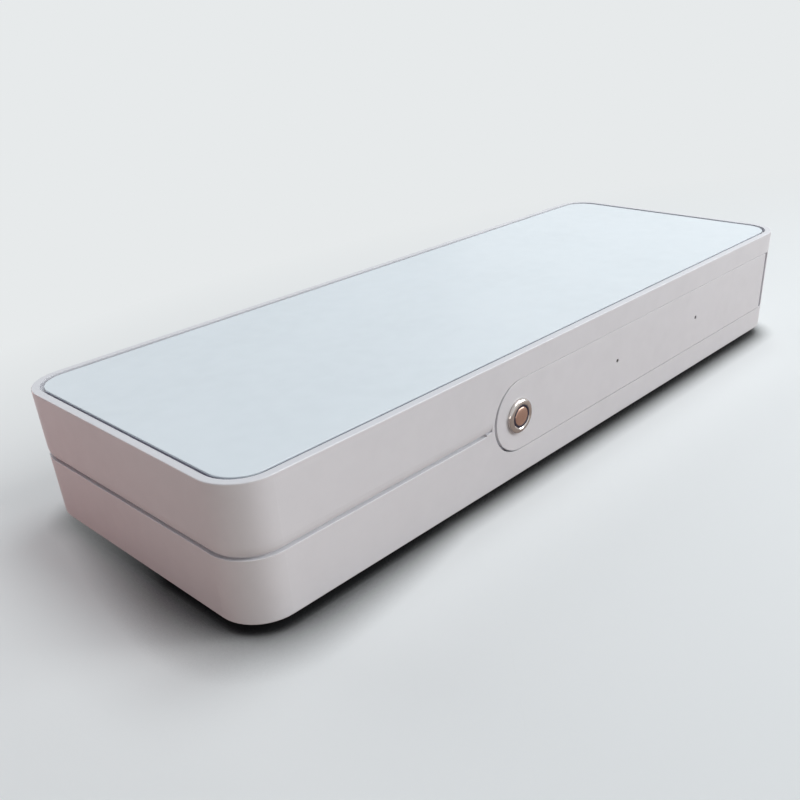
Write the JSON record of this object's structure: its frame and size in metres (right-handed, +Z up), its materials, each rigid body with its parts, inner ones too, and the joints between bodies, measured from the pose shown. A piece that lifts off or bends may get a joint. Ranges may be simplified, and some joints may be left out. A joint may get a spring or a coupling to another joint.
{
  "type": "digital audio reclocker",
  "caption": "Long flat audio reclocker in two painted shells, with an inlaid top panel, a round-ended front plate, a lit push button and rear sockets for mains, USB and coaxial audio.",
  "frame": {"origin": "on the surface the feet stand on, under the middle of the overall box", "axes": "+X to the front's right-hand side along the length, +Y to the rear, +Z up"},
  "size_m": [0.45, 0.1758, 0.0702],
  "materials": {
    "shell_paint": "satin",
    "plate_paint": "satin",
    "panel_lacquer": "satin",
    "polished_steel": "polished",
    "ring_plastic": "glossy",
    "indicator_plastic": "glossy",
    "lamp_plastic": "glossy",
    "black_plastic": "fine grain",
    "black_rubber": "matte",
    "foot_aluminium": "turned",
    "plated_steel": "zinc plated",
    "socket_steel": "bright",
    "can_steel": "bright",
    "contact_brass": "gold plated",
    "tongue_plastic": "smooth",
    "bonding_tape": "matte",
    "board_laminate": "lacquered",
    "chip_plastic": "matte",
    "capacitor_sleeve": "shrink sleeve",
    "terminal_plastic": "smooth",
    "black_aluminium": "black anodised",
    "fuse_glass": "clear",
    "winding_tape": "wound tape",
    "core_iron": "plain",
    "mains_insulation": "smooth",
    "earth_insulation": "smooth",
    "winding_insulation": "smooth",
    "signal_insulation": "smooth"
  },
  "bodies": {
    "enclosure": {"lower_shell": "shell_paint", "upper_shell": "shell_paint", "top_panel": "panel_lacquer", "panel_tape": "bonding_tape", "front_plate": "plate_paint", "front_plate_screws": "plated_steel", "switch_body": "polished_steel", "switch_light_ring": "ring_plastic", "switch_contact_block": "black_plastic", "switch_terminals": "contact_brass", "switch_seal": "black_rubber", "switch_nut": "plated_steel", "switch_spring": "plated_steel", "indicator_lenses": "indicator_plastic", "indicator_lamps": "lamp_plastic", "indicator_board": "board_laminate", "rear_panel": "shell_paint", "rear_panel_screws": "plated_steel", "mains_inlet": "black_plastic", "inlet_pins": "plated_steel", "inlet_screws": "plated_steel", "inlet_nuts": "plated_steel", "usb_input_shell": "socket_steel", "usb_output_shell": "socket_steel", "usb_tongues": "tongue_plastic", "coax_jacks": "contact_brass", "coax_insulators": "tongue_plastic", "coax_contacts": "contact_brass", "coax_nuts": "contact_brass", "shell_screws": "plated_steel", "feet": "foot_aluminium", "foot_pads": "black_rubber", "foot_screws": "plated_steel", "transformer_windings": "winding_tape", "transformer_core": "core_iron", "transformer_pads": "black_rubber", "transformer_clamp": "plated_steel", "transformer_bolt": "plated_steel", "transformer_nut": "plated_steel", "board_standoffs": "contact_brass", "board_screws": "plated_steel", "power_board": "board_laminate", "main_board": "board_laminate", "bridge_rectifier": "chip_plastic", "smoothing_capacitors": "capacitor_sleeve", "regulator_heatsink": "black_aluminium", "voltage_regulators": "chip_plastic", "terminal_blocks": "terminal_plastic", "clock_oscillator": "can_steel", "board_chips": "chip_plastic", "board_headers": "tongue_plastic", "earth_stud": "contact_brass", "earth_nut": "contact_brass", "mains_leads": "mains_insulation", "earth_lead": "earth_insulation", "transformer_leads": "winding_insulation", "signal_leads": "signal_insulation"},
    "power_button": {"switch_button": "polished_steel"},
    "fuse_drawer": {"fuse_drawer": "black_plastic", "fuse": "fuse_glass"}
  },
  "joints": [
    {"name": "power_button_press", "type": "slide", "parent": "enclosure", "child": "power_button", "axis": [0, 1, 0], "range_m": [0, 0.0018], "stiffness_N_per_m": 800, "springref_m": -0.001, "deforming": ["switch_spring"]},
    {"name": "fuse_drawer_slide", "type": "slide", "parent": "enclosure", "child": "fuse_drawer", "axis": [0, 1, 0], "range_m": [0, 0.016]}
  ]
}
